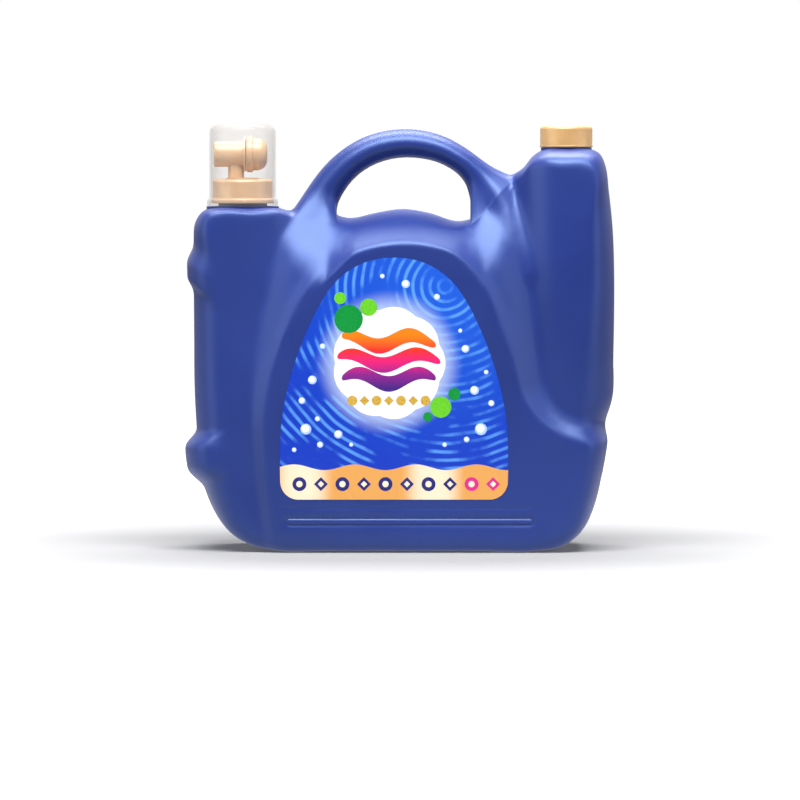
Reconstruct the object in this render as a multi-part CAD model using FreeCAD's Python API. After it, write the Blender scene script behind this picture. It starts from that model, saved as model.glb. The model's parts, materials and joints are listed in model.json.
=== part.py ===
import FreeCAD, Part
import math
import os

# An eight litre laundry detergent bottle, blown in one piece with a carrying handle, two necks and
# two feet on its left side, so that it also works lying down on that side with its turn tap.
# Millimetres, Z up, front at -Y. The origin is on the floor, under the middle of the whole thing.

Vec = FreeCAD.Vector

# Bottle body
wall = 2.0                # blown wall
plateau_depth = 58.5      # half depth of the flat front that carries the label
base_lift = 0.8           # height of the flat standing pad under the body
base_flat = 0.7           # share of the depth that is flat underneath
pad_inset = 20.0          # how far the pad lies inside the front and back
pad_left = -90.0
pad_right = 98.0
pad_corner = 14.0
edge_round_base = 14.0    # inset of the rounding at the standing edge
edge_round_top = 9.0      # the same at the flat top of the left tower
edge_round_lip = 8.0      # the same along the lower lip of the hand hole
edge_round_left = 28.0    # the same on the left side
edge_round_right = 34.0   # the same on the right tower, which is nearly a column
edge_round_corner = 21.0  # the same on the lower right corner
edge_round_dome = 19.0    # the same over the top of the right tower

# Faces behind the plateau
step_drop = 4.0           # soft step round the plateau
step_run = 7.5
band_slope = 0.35         # fall of the arch band outside the step
flank_slope = 0.85        # fall outside the edge of the band
left_tower_back = 16.5    # how far the left tower's top lies behind the plateau
left_tower_taper = 0.055
left_tower_axis = -134.0
left_tower_round = 0.004  # how fast it falls off to the right, and then beyond its shoulder
left_shoulder = -100.0
left_shoulder_round = 0.03
left_tower_top = 265.0
right_tower_back = 13.5
right_tower_taper = 0.025
right_tower_axis = 130.0
right_tower_reach = 42.0
right_tower_top = 312.0
valley_depth = 3.5        # hollow between the right tower and the arch
lip_top = 264.4           # crown of the lower lip of the hand hole
lip_axis = 3.5
lip_round = 0.0047
lip_fall = 11.0
lip_depth = 20.0          # half depth along that lip, and how fast it grows downward
lip_slope = 1.6
leg_top = 262.0
leg_depth = 24.0          # the same under the legs of the handle
leg_slope = 0.68
leg_from = 38.0           # how far from the lip's axis the legs' own depth takes over
leg_to = 62.0
fin_width = 5.0
arch_blend = 4.0          # reach of the soft joins between these faces
roof_blend = 6.0
left_blend = 5.0
right_blend = 11.0
fin_blend = 9.0
groove_depth = 1.1        # shallow groove round a bead, along the foot of the front
groove_radius = 10.0
bead_radius = 3.5
groove_height = 24.2
groove_left = -90.5
groove_right = 104.5

# Feet on the left side, as height of their middle, half length, how far they stand out sideways
# and how far they stand out of the front
feet = [
    (70.5, 21.5, 10.2, 3.5),
    (218.0, 16.5, 5.0, 0.8),
]
foot_outer = -152.0       # the feet swell out of the front between these two places
foot_inner = -128.0
foot_side = -140.0        # and out of the side left of this one
foot_flat = 0.45          # share of their half length that is flat

# Handle
handle_depth = 17.0       # half depth of the grip
handle_loops = 26
handle_root_reach = 26.0  # length over which a leg changes from its root to its own section

# Filler neck on the right tower, with its cap and liner
filler_axis = 129.0
filler_land_radius = 19.8     # flat land round the neck
filler_land_top = 312.3
filler_neck_radius = 17.2
filler_bore_radius = 15.0
filler_neck_top = 325.8
seat_gap = 0.3                # play under a part that only rests
cap_radius = 20.7
cap_top = 328.9
cap_skirt_wall = 1.8
cap_top_wall = 1.8
cap_lip = 1.5
cap_corner = 2.6
liner_thick = 1.2
thread_room = 1.7             # radial room round a neck for its thread

# Tap neck on the left tower
tap_axis = -122.9
tap_land_radius = 28.2
tap_land_top = 266.5
tap_neck_radius = 19.0
tap_bore_radius = 16.5
tap_neck_top = 282.0

# Threaded collar that holds the tap
collar_radius = 23.3
collar_bottom = 269.1
collar_top = 287.8
collar_flange_radius = 24.4
collar_flange_height = 3.4
collar_plate = 2.4
collar_corner = 2.8
collar_hole_radius = 13.0

# Turn tap: base plate and stem, level barrel with its outlet to the left, turning key on the right
gasket_thick = 0.9
stem_axis = -128.0
stem_radius = 6.3
stem_bore_radius = 4.4
base_boss_radius = 12.6
base_boss_top = 288.6
barrel_height = 307.0
barrel_radius = 9.9
barrel_left = -145.2
barrel_bore_radius = 7.5
barrel_flange_left = -122.1
barrel_flange_right = -120.4
barrel_flange_radius = 13.3
key_clearance = 0.05
key_left = -143.8
key_bore_radius = 4.2
key_bore_end = -124.0
key_port_radius = 3.8
seal_radius = 0.95
seal_places = [-135.5, -122.4]
knob_gap = 0.5
knob_radius = 14.0
knob_rim = 5.0
knob_dome_radius = 12.6
knob_right = -103.8

# Clear cover over the tap
cover_radius = 25.95
cover_top = 330.7
cover_wall = 1.2
cover_corner = 6.5
cover_flare_radius = 27.8
cover_flare_height = 5.4

# Mesh of control points that the skin is spun over
station_pitch = 5.0
face_rings = 22
round_rings = 10
window_rows = 9
window_columns = 4

# Label
label_axis = -5.0
label_bottom = 41.5
label_thick = 0.25
panel_margin = 4.5
# Height and half width of the arched outline, from its lower corner to its crown
label_arch = [
    (54.0, 87.8), (80.0, 88.0), (110.0, 85.6), (137.0, 79.6), (165.0, 70.0), (192.0, 57.2),
    (210.0, 44.5), (220.5, 31.0), (226.5, 16.0), (228.2, 0.0),
]
label_corner = 14.0

# Stations round the outline of the body without its handle, clockwise from the middle of the base:
# x, z, where its section line ends on the edge of the label panel as a share of that edge,
# inset of the edge rounding, and how square the rounding is.
stations = [
    (-5.0, base_lift, 0.000, edge_round_base, 4.0),
    (-60.0, base_lift, 0.085, edge_round_base, 4.0),
    (-95.0, base_lift + 0.2, 0.130, edge_round_base + 1.0, 3.6),
    (-116.0, 5.0, 0.150, 18.0, 3.2),
    (-132.0, 14.0, 0.165, 22.0, 3.0),
    (-144.0, 28.0, 0.180, 25.0, 2.8),
    (-152.0, 45.0, 0.195, edge_round_left - 1.0, 2.7),
    (-156.5, 66.0, 0.212, edge_round_left, 2.6),
    (-158.8, 92.0, 0.232, edge_round_left, 2.6),
    (-160.5, 125.0, 0.262, edge_round_left, 2.6),
    (-160.8, 165.0, 0.295, edge_round_left, 2.6),
    (-161.0, 205.0, 0.325, edge_round_left, 2.6),
    (-161.0, 240.0, 0.345, edge_round_left - 2.0, 2.8),
    (-159.7, 255.0, 0.352, 20.0, 3.0),
    (-153.0, 263.7, 0.358, 12.0, 3.6),
    (-143.0, 265.6, 0.364, edge_round_top, 4.0),
    (-118.0, 265.6, 0.380, edge_round_top, 4.0),
    (-96.0, 265.4, 0.397, edge_round_top, 4.0),
    (-84.5, 262.3, 0.408, edge_round_top, 3.0),
    (-67.5, 261.0, 0.424, edge_round_lip, 2.4),
    (-50.5, 259.8, 0.440, edge_round_lip, 2.4),
    (-41.0, 257.3, 0.452, edge_round_lip, 2.4),
    (-20.0, 261.3, 0.476, edge_round_lip, 2.4),
    (1.5, 264.4, 0.503, edge_round_lip, 2.4),
    (24.0, 261.0, 0.528, edge_round_lip, 2.4),
    (45.0, 254.8, 0.548, edge_round_lip, 2.4),
    (58.2, 258.0, 0.560, edge_round_lip, 2.4),
    (72.0, 274.0, 0.580, edge_round_lip, 2.4),
    (86.0, 290.2, 0.600, edge_round_lip, 2.4),
    (95.5, 296.0, 0.612, 9.0, 2.6),
    (103.5, 306.0, 0.624, 12.0, 2.6),
    (113.0, 311.5, 0.640, edge_round_dome - 2.0, 2.6),
    (129.0, 312.2, 0.658, edge_round_dome, 2.6),
    (146.0, 311.6, 0.675, edge_round_dome - 1.0, 2.6),
    (155.0, 308.0, 0.686, edge_round_dome, 2.5),
    (159.3, 299.0, 0.695, 22.0, 2.4),
    (162.0, 280.0, 0.706, 30.0, 2.3),
    (165.2, 250.0, 0.719, edge_round_right, 2.2),
    (166.5, 215.0, 0.733, edge_round_right, 2.2),
    (166.5, 180.0, 0.748, edge_round_right, 2.2),
    (166.0, 150.0, 0.761, edge_round_right, 2.2),
    (164.8, 115.0, 0.775, 32.0, 2.2),
    (162.3, 107.0, 0.780, 30.0, 2.3),
    (159.7, 99.0, 0.786, 28.0, 2.3),
    (159.7, 93.0, 0.791, 26.0, 2.4),
    (161.6, 86.5, 0.797, 24.0, 2.5),
    (160.3, 75.0, 0.808, 22.0, 2.6),
    (156.5, 55.0, 0.825, edge_round_corner, 2.7),
    (151.0, 33.5, 0.840, edge_round_corner, 2.8),
    (141.0, 15.5, 0.855, 20.0, 3.0),
    (124.0, 3.6, 0.872, 18.0, 3.2),
    (104.0, base_lift + 0.1, 0.893, edge_round_base + 1.0, 3.8),
    (60.0, base_lift, 0.935, edge_round_base, 4.0),
]
left_root = (18, 20)
right_root = (26, 28)

# Edge of the plateau: up the left side, over the arch, down the right side and out to the right
ridge_points = [
    (-101.0, -30.0), (-101.0, 17.0), (-103.4, 38.0), (-106.8, 83.5), (-106.8, 107.0), (-102.6, 134.0),
    (-96.3, 152.0), (-87.4, 175.5), (-76.0, 198.0), (-62.0, 216.5), (-44.0, 230.0), (-20.7, 239.8),
    (-2.7, 242.7), (24.6, 239.0), (44.5, 229.0), (58.9, 215.6), (67.5, 202.0), (75.3, 182.0),
    (86.2, 155.2), (91.5, 136.0), (96.9, 118.9), (104.9, 107.6), (114.0, 99.5), (125.2, 93.1),
    (136.9, 89.7), (148.4, 88.5), (157.0, 87.4), (190.0, 86.0),
]

# Outer edge of the arch band, with how far it lies behind the plateau; low down on both sides
# it joins the plateau's edge
band_points = [
    (-101.0, -30.0, 0.5), (-101.0, 17.0, 0.5), (-103.4, 38.0, 0.5), (-106.8, 83.5, 0.5),
    (-107.0, 107.0, 1.0), (-106.0, 129.0, 3.0), (-104.5, 152.0, 5.5), (-101.0, 175.0, 8.0),
    (-96.5, 193.0, 10.0), (-92.0, 212.0, 11.5), (-85.0, 230.0, 12.5), (-78.0, 250.0, 13.5),
    (-60.0, 275.0, 13.5), (0.0, 290.0, 13.5), (50.0, 268.0, 16.5), (68.0, 250.0, 16.5),
    (79.7, 229.0, 14.5), (87.0, 203.0, 11.5), (90.0, 186.0, 9.5), (91.5, 169.0, 7.0),
    (93.0, 140.0, 2.5), (96.9, 118.9, 0.5), (104.9, 107.6, 0.5), (114.0, 99.5, 0.5),
    (125.2, 93.1, 0.5), (136.9, 89.7, 0.5), (148.4, 88.5, 0.5), (157.0, 87.4, 0.5),
    (190.0, 86.0, 0.5),
]

# Crest that the right leg of the handle leaves on the body, with its half depth
fin_points = [
    (58.0, 298.7, 21.0), (70.6, 280.8, 23.0), (80.0, 264.4, 26.0), (87.8, 246.5, 31.0),
    (94.8, 230.0, 35.0), (100.2, 214.0, 37.5),
]

# Middle line of the grip from the left root to the right one, with half its height
grip_points = [
    (-67.5, 261.0, 17.0), (-63.7, 269.9, 13.7), (-57.4, 280.1, 12.7), (-49.8, 290.6, 12.0),
    (-37.9, 301.8, 11.5), (-23.4, 310.1, 11.4), (-10.1, 314.1, 11.2), (0.8, 315.5, 11.1),
    (19.1, 314.2, 10.8), (32.3, 310.5, 10.3), (41.5, 305.9, 10.0), (49.6, 300.6, 10.0),
    (57.6, 293.3, 10.9), (63.6, 286.9, 12.9), (67.9, 280.6, 16.6), (71.5, 274.4, 21.5),
]


def mix(a, b, share):
    return a + (b - a) * share


def soft(value, low, high):
    """Smooth rise from 0 at low to 1 at high."""
    share = min(max((value - low) / (high - low), 0.0), 1.0)
    return share * share * (3.0 - 2.0 * share)


def soft_max(a, b, reach):
    near = max(reach - abs(a - b), 0.0) / reach
    return max(a, b) + near * near * reach / 4.0


def soft_min(a, b, reach):
    return -soft_max(-a, -b, reach)


def smooth_rows(rows, counts, closed):
    """Rows of numbers run through by a smooth curve over their first two, counts steps apart."""
    total = len(rows)
    span = total if closed else total - 1

    def pick(index):
        if closed:
            return rows[index % total]
        return rows[min(max(index, 0), total - 1)]

    def chord(index):
        a = pick(index)
        b = pick(index + 1)
        return math.hypot(b[0] - a[0], b[1] - a[1]) or 1e-6

    result = []
    for index in range(span):
        before, start, end, after = pick(index - 1), pick(index), pick(index + 1), pick(index + 2)
        d0, d1, d2 = chord(index - 1), chord(index), chord(index + 1)
        slopes = []
        for p, a, b, n in zip(before, start, end, after):
            leaving = ((a - p) / d0 * d1 + (b - a) / d1 * d0) / (d0 + d1)
            arriving = ((b - a) / d1 * d2 + (n - b) / d2 * d1) / (d1 + d2)
            slopes.append((leaving * d1, arriving * d1))
        steps = counts[index]
        for step in range(steps):
            t = step / steps
            square = t * t
            cube = square * t
            near = 2.0 * cube - 3.0 * square + 1.0
            leave = cube - 2.0 * square + t
            arrive = cube - square
            result.append(tuple(
                near * a + (1.0 - near) * b + leave * out + arrive * into
                for a, b, (out, into) in zip(start, end, slopes)))
    if not closed:
        result.append(rows[-1])
    return result


def curve_counts(rows, pitch, closed):
    total = len(rows)
    span = total if closed else total - 1
    counts = []
    for index in range(span):
        a = rows[index]
        b = rows[(index + 1) % total]
        counts.append(max(1, round(math.hypot(b[0] - a[0], b[1] - a[1]) / pitch)))
    return counts


def smooth_line(rows, pitch):
    return smooth_rows(rows, curve_counts(rows, pitch, False), False)


ridge_line = smooth_line(ridge_points, 6.0)
band_line = smooth_line(band_points, 6.0)
fin_line = smooth_line(fin_points, 6.0)


def nearest_on(line, x, z):
    """Signed distance to a line, positive on its left going along it, and the place as a row."""
    best = 1e18
    found = None
    for a, b in zip(line, line[1:]):
        dx = b[0] - a[0]
        dz = b[1] - a[1]
        px = x - a[0]
        pz = z - a[1]
        share = (px * dx + pz * dz) / (dx * dx + dz * dz)
        share = 0.0 if share < 0.0 else 1.0 if share > 1.0 else share
        ex = px - share * dx
        ez = pz - share * dz
        square = ex * ex + ez * ez
        if square < best - 1e-9:
            best = square
            side = dx * pz - dz * px
            found = (a, b, share, side)
    a, b, share, side = found
    distance = math.sqrt(best)
    row = [mix(p, q, share) for p, q in zip(a, b)]
    return (distance if side > 0 else -distance), row


def roof_depth(x, z):
    """Half depth allowed below the hand hole and below the legs of the handle."""
    aside = abs(x - lip_axis)
    lip = lip_top - min(lip_round * aside * aside, lip_fall)
    middle = lip_depth + lip_slope * (lip - z)
    leg = leg_depth + leg_slope * (leg_top - z)
    return mix(middle, leg, soft(aside, leg_from, leg_to))


def foot_swell(z, middle, half):
    share = abs(z - middle) / half
    return 1.0 - soft(share, foot_flat, 1.0)


def half_depth(x, z):
    """Half the depth of the skin over a point of the front view, before its edge is rounded."""
    ridge_gap, _ = nearest_on(ridge_line, x, z)
    band_gap, band_row = nearest_on(band_line, x, z)
    face = plateau_depth - step_drop * soft(ridge_gap, 0.0, step_run) - band_slope * max(ridge_gap, 0.0)
    flank = plateau_depth - band_row[2] - flank_slope * band_gap
    arch = soft_min(face, flank, arch_blend)
    arch = soft_min(arch, roof_depth(x, z), roof_blend)

    left = plateau_depth - left_tower_back + left_tower_taper * (left_tower_top - z)
    left -= left_tower_round * max(x - left_tower_axis, 0.0) ** 2
    left -= left_shoulder_round * max(x - left_shoulder, 0.0) ** 2

    share = min(max(right_tower_axis - x, 0.0) / right_tower_reach, 1.0)
    right = plateau_depth - right_tower_back + right_tower_taper * (right_tower_top - z)
    right *= math.sqrt(1.0 - share * share)
    right -= valley_depth * (1.0 - soft(ridge_gap, 8.0, 25.0)) * soft(x, 95.0, 112.0)

    depth = soft_max(arch, left, left_blend) if x < 0.0 else soft_max(arch, right, right_blend)
    if x > 40.0 and z > 200.0:
        fin_gap, fin_row = nearest_on(fin_line, x, z)
        fin = fin_row[2] - math.hypot(fin_gap, fin_width) + fin_width
        depth = soft_max(depth, fin, fin_blend)

    for middle, half, _, proud in feet:
        depth += proud * foot_swell(z, middle, half) * (1.0 - soft(x, foot_outer, foot_inner))
    return depth


def label_half(grow):
    """Left half of the label's outline grown by a margin, from the middle of its foot to its crown."""
    bottom = label_bottom - grow
    side = label_arch[0][1] + grow
    corner = label_corner + grow
    half = [(0.0, bottom), (0.35 * side, bottom), (0.7 * side, bottom)]
    turn = (side - corner, bottom + corner)
    for step in range(5):
        angle = math.radians(90.0 * step / 4)
        half.append((turn[0] + corner * math.sin(angle), turn[1] - corner * math.cos(angle)))
    arch = [(width, height) for height, width in label_arch[1:]]
    points = [half[-1]] + arch
    grown = []
    for before, at, after in zip(points, points[1:], points[2:] + [(-points[-2][0], points[-2][1])]):
        tx = after[0] - before[0]
        tz = after[1] - before[1]
        size = math.hypot(tx, tz)
        grown.append((at[0] + grow * tz / size, at[1] - grow * tx / size))
    return half + grown


def label_loop(grow):
    """Closed outline, clockwise from the middle of its foot."""
    half = label_half(grow)
    left = [(label_axis - x, z) for x, z in half]
    right = [(label_axis + x, z) for x, z in reversed(half[1:-1])]
    return left + right


def panel_edge(shares):
    """Points of the edge of the flat label panel at shares of its length."""
    keys = label_loop(panel_margin)
    loop = smooth_rows(keys, curve_counts(keys, 2.0, True), True)
    loop.append(loop[0])
    lengths = [0.0]
    for a, b in zip(loop, loop[1:]):
        lengths.append(lengths[-1] + math.hypot(b[0] - a[0], b[1] - a[1]))
    result = []
    for share in shares:
        want = (share % 1.0) * lengths[-1]
        index = 0
        while lengths[index + 1] < want:
            index += 1
        part = (want - lengths[index]) / (lengths[index + 1] - lengths[index])
        result.append(tuple(mix(p, q, part) for p, q in zip(loop[index], loop[index + 1])))
    return result


class SkinMesh:
    """Control points and quads of the outer skin, and where its smooth patches lie."""

    def __init__(self):
        self.points = []
        self.quads = []
        self.build_body()
        self.build_handle()
        self.find_corners()

    def add(self, x, y, z):
        self.points.append(Vec(x, y, z))
        return len(self.points) - 1

    def build_body(self):
        closing = stations + [stations[0][:2] + (1.0,) + stations[0][3:]]
        counts = curve_counts(stations, station_pitch, True)
        for first, last in (left_root, right_root):
            for index in range(first, last):
                counts[index] = window_columns
        wrapped = [row[:2] + (row[2] - 1.0,) + row[3:] for row in stations[-2:]]
        wrapped += closing + [stations[1][:2] + (stations[1][2] + 1.0,) + stations[1][3:]]
        steps = [1, 1] + counts + [1]
        rows = smooth_rows(wrapped, steps, False)[2:2 + sum(counts)]
        self.starts = [0]
        for count in counts:
            self.starts.append(self.starts[-1] + count)
        ends = panel_edge([row[2] for row in rows])
        self.around = len(rows)
        self.deep = face_rings + round_rings
        self.rings = 2 * self.deep
        self.grid = []
        for (x, z, _, inset, square), (ex, ez) in zip(rows, ends):
            for middle, half, reach, _ in feet:
                if x < foot_side:
                    x -= reach * foot_swell(z, middle, half)
            self.grid.append(self.section(x, z, ex, ez, inset, square))
        for i in range(self.around):
            for j in range(-1, self.rings + 1):
                if not self.in_window(i, j):
                    self.quads.append((self.at(i, j), self.at(i, j + 1),
                                       self.at(i + 1, j + 1), self.at(i + 1, j)))

    def section(self, x, z, ex, ez, inset, square):
        """One section line: from inside the front panel round the edge to inside the back panel."""
        length = math.hypot(ex - x, ez - z)
        places = []
        flat = base_flat * (1.0 - soft(z, base_lift, 40.0))
        for ring in range(round_rings + 1):
            share = math.sin(math.pi / 2 * ring / round_rings)
            rise = max(share - flat, 0.0) / (1.0 - flat)
            drawn = inset * (1.0 - (1.0 - rise ** square) ** (1.0 / square))
            places.append((drawn / length, share))
        turned = places[-1][0]
        for ring in range(1, face_rings + 1):
            places.append((mix(turned, 1.0, ring / face_rings), 1.0))
        places.append((1.0 + (1.0 - turned) / face_rings, 1.0))
        front = []
        for number, (along, share) in enumerate(reversed(places)):
            px = mix(x, ex, along)
            pz = mix(z, ez, along)
            depth = plateau_depth if number < 3 else half_depth(px, pz)
            front.append((px, -depth * share, pz))
        column = [self.add(*point) for point in front]
        column += [self.add(px, -py, pz) for px, py, pz in reversed(front[:-1])]
        return column

    def at(self, i, j):
        return self.grid[i % self.around][j + 1]

    def in_window(self, i, j):
        rows = self.deep - window_rows <= j < self.deep + window_rows
        if not rows:
            return False
        for first, last in (left_root, right_root):
            if self.starts[first] <= i < self.starts[last]:
                return True
        return False

    def window_edge(self, root, outer_first):
        """Places round a window, from its outer front corner along the front, the hole's side,
        the back and the outer side."""
        low = self.starts[root[0]]
        high = self.starts[root[1]]
        columns = list(range(low, high + 1))
        if not outer_first:
            columns.reverse()
        rows = list(range(self.deep - window_rows, self.deep + window_rows + 1))
        loop = [(i, rows[0]) for i in columns[:-1]]
        loop += [(columns[-1], j) for j in rows[:-1]]
        loop += [(i, rows[-1]) for i in reversed(columns[1:])]
        loop += [(columns[0], j) for j in reversed(rows[1:])]
        return loop

    def build_handle(self):
        start = self.window_edge(left_root, True)
        end = self.window_edge(right_root, False)
        wide = 2 * window_columns
        high = 2 * window_rows
        self.tube_sides = (wide, high)
        line = smooth_line(grip_points, 1.0)
        lengths = [0.0]
        for a, b in zip(line, line[1:]):
            lengths.append(lengths[-1] + math.hypot(b[0] - a[0], b[1] - a[1]))
        count = 2 * (wide + high)

        def section_ring(want):
            """The grip's own section at a length along its middle line."""
            index = 0
            while lengths[index + 1] < want:
                index += 1
            part = (want - lengths[index]) / (lengths[index + 1] - lengths[index])
            px, pz, half = (mix(p, q, part) for p, q in zip(line[index], line[index + 1]))
            before = line[max(index - 4, 0)]
            after = line[min(index + 5, len(line) - 1)]
            size = math.hypot(after[0] - before[0], after[1] - before[1])
            tx = (after[0] - before[0]) / size
            tz = (after[1] - before[1]) / size
            ring = []
            for k in range(count):
                p, q = self.ring_place(k, wide, high)
                ring.append(Vec(px - tz * half * p, handle_depth * q, pz + tx * half * p))
            return ring

        roots = [[self.points[self.at(i, j)] for i, j in edge] for edge in (start, end)]
        ripe = [section_ring(handle_root_reach), section_ring(lengths[-1] - handle_root_reach)]
        self.tube = [[self.at(i, j) for i, j in start]]
        self.edges = (start, end)
        for loop in range(1, handle_loops):
            want = lengths[-1] * loop / handle_loops
            near = min(want, lengths[-1] - want)
            side = 0 if want < lengths[-1] / 2 else 1
            straight = min(near / handle_root_reach, 1.0)
            share = soft(near, 0.0, handle_root_reach)
            ids = []
            for root, grown, own in zip(roots[side], ripe[side], section_ring(want)):
                place = (root + (grown - root) * straight) * (1.0 - share) + own * share
                ids.append(self.add(place.x, place.y, place.z))
            self.tube.append(ids)
        self.tube.append([self.at(i, j) for i, j in end])
        for loop in range(handle_loops):
            for k in range(count):
                n = (k + 1) % count
                self.quads.append((self.tube[loop][k], self.tube[loop + 1][k],
                                   self.tube[loop + 1][n], self.tube[loop][n]))

    @staticmethod
    def ring_place(k, wide, high):
        """Place on a unit circle as shares outward and backward."""
        if k < wide:
            angle = math.radians(45.0 * (1.0 - 2.0 * k / wide))
            return math.sin(angle), -math.cos(angle)
        k -= wide
        if k < high:
            angle = math.radians(45.0 * (2.0 * k / high - 1.0))
            return -math.cos(angle), math.sin(angle)
        k -= high
        if k < wide:
            angle = math.radians(45.0 * (2.0 * k / wide - 1.0))
            return math.sin(angle), math.cos(angle)
        k -= wide
        angle = math.radians(45.0 * (1.0 - 2.0 * k / high))
        return math.cos(angle), math.sin(angle)

    def find_corners(self):
        """For each point the quads round it, each as its two edge neighbours and the far corner."""
        self.corners = {}
        for quad in self.quads:
            for k in range(4):
                entry = (quad[(k + 1) % 4], quad[(k + 3) % 4], quad[(k + 2) % 4])
                self.corners.setdefault(quad[k], []).append(entry)

    def offset(self, distance):
        """Points moved inward along the mean normal of the quads round them."""
        normals = [Vec() for _ in self.points]
        for a, b, c, d in self.quads:
            normal = (self.points[c] - self.points[a]).cross(self.points[d] - self.points[b])
            size = normal.Length
            if size > 1e-9:
                normal = normal * (1.0 / size)
                for corner in (a, b, c, d):
                    normals[corner] = normals[corner] + normal
        moved = []
        for point, normal in zip(self.points, normals):
            # points inside a window carry no quad
            moved.append(point + normal.normalize() * distance if normal.Length > 0.1 else point)
        for i in range(self.around):
            for j in (-1, 0, 1):
                front = self.at(i, j)
                back = self.at(i, self.rings - j)
                moved[front] = self.points[front] + Vec(0, distance, 0)
                moved[back] = self.points[back] - Vec(0, distance, 0)
        return moved


def spline_surface(rows):
    """Surface of a grid of control points, cut to the part that they fully steer."""
    u = len(rows)
    v = len(rows[0])
    surface = Part.BSplineSurface()
    surface.buildFromPolesMultsKnots(
        rows, [1] * (u + 4), [1] * (v + 4), [float(k) for k in range(u + 4)],
        [float(k) for k in range(v + 4)], False, False, 3, 3)
    surface.segment(3.0, float(u), 3.0, float(v))
    return surface


def corner_surface(mesh, points, quad):
    """Patch next to a point where other than four quads meet."""
    def inner(at, near_a, near_b, far):
        n = len(mesh.corners[at])
        return (points[at] * n + points[near_a] * 2 + points[near_b] * 2 + points[far]) * (1.0 / (n + 5))

    def limit(at):
        found = [inner(at, *entry) for entry in mesh.corners[at]]
        return sum(found, Vec()) * (1.0 / len(found))

    def edge(at, toward):
        found = [inner(at, *entry) for entry in mesh.corners[at] if toward in entry[:2]]
        return sum(found, Vec()) * (1.0 / len(found))

    a, b, c, d = quad
    poles = [[None] * 4 for _ in range(4)]
    for (u, v), at, along_u, along_v, far in (
            ((0, 0), a, d, b, c), ((0, 3), b, c, a, d), ((3, 3), c, b, d, a), ((3, 0), d, a, c, b)):
        iu = 1 if u == 0 else 2
        iv = 1 if v == 0 else 2
        poles[u][v] = limit(at)
        poles[iu][v] = edge(at, along_u)
        poles[u][iv] = edge(at, along_v)
        poles[iu][iv] = inner(at, along_u, along_v, far)
    surface = Part.BSplineSurface()
    surface.buildFromPolesMultsKnots(poles, [4, 4], [4, 4], [0.0, 1.0], [0.0, 1.0], False, False, 3, 3)
    return surface


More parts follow.
